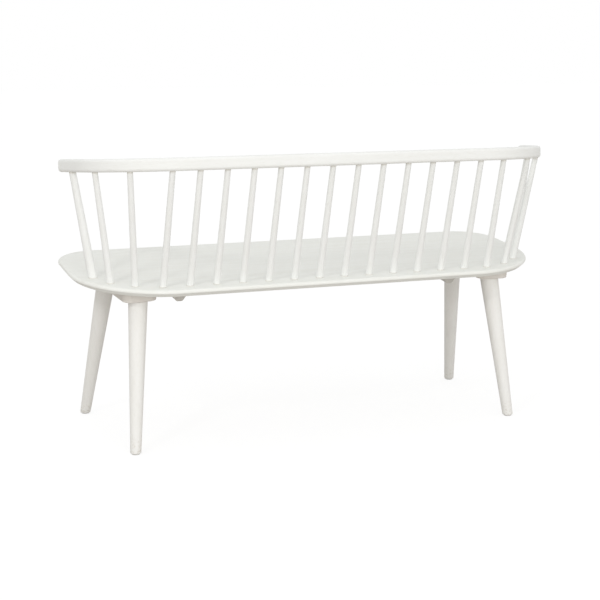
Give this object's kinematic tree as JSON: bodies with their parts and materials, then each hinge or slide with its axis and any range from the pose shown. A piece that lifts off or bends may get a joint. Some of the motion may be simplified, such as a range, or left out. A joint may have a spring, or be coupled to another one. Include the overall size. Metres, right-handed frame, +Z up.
{
  "type": "spindle-back bench",
  "caption": "Long painted wooden bench with a rounded plank seat, a low spindle back under one bent rail that forms short arms, and splayed tapered legs.",
  "frame": {"origin": "on the floor, at the centre of the bench's footprint box", "axes": "+X along the length towards a sitter's left, +Y towards the back rail, +Z up; a sitter faces -Y"},
  "size_m": [1.2902, 0.5304, 0.726],
  "materials": {
    "seat_paint": "satin white paint",
    "rail_paint": "satin white paint",
    "spindle_paint": "satin white paint",
    "leg_paint": "satin white paint",
    "batten_paint": "satin white paint",
    "zinc_steel": "zinc plated",
    "glide_plastic": "matte"
  },
  "bodies": {
    "root": {"seat": "seat_paint", "top_rail": "rail_paint", "back_spindle_01": "spindle_paint", "back_spindle_02": "spindle_paint", "back_spindle_03": "spindle_paint", "back_spindle_04": "spindle_paint", "back_spindle_05": "spindle_paint", "back_spindle_06": "spindle_paint", "back_spindle_07": "spindle_paint", "back_spindle_08": "spindle_paint", "back_spindle_09": "spindle_paint", "back_spindle_10": "spindle_paint", "back_spindle_11": "spindle_paint", "back_spindle_12": "spindle_paint", "back_spindle_13": "spindle_paint", "back_spindle_14": "spindle_paint", "corner_spindle_left": "spindle_paint", "corner_spindle_right": "spindle_paint", "arm_spindle_left": "spindle_paint", "arm_spindle_right": "spindle_paint", "arm_post_left": "spindle_paint", "arm_post_right": "spindle_paint", "leg_front_left": "leg_paint", "leg_front_right": "leg_paint", "leg_rear_left": "leg_paint", "leg_rear_right": "leg_paint", "leg_bolt_front_left": "zinc_steel", "leg_bolt_front_right": "zinc_steel", "leg_bolt_rear_left": "zinc_steel", "leg_bolt_rear_right": "zinc_steel", "leg_insert_front_left": "zinc_steel", "leg_insert_front_right": "zinc_steel", "leg_insert_rear_left": "zinc_steel", "leg_insert_rear_right": "zinc_steel", "foot_glide_front_left": "glide_plastic", "foot_glide_front_right": "glide_plastic", "foot_glide_rear_left": "glide_plastic", "foot_glide_rear_right": "glide_plastic", "leg_batten_left": "batten_paint", "leg_batten_right": "batten_paint", "seat_cleat_left": "batten_paint", "seat_cleat_right": "batten_paint", "batten_screws_left": "zinc_steel", "batten_screws_right": "zinc_steel", "cleat_screws_left": "zinc_steel", "cleat_screws_right": "zinc_steel"}
  },
  "joints": []
}
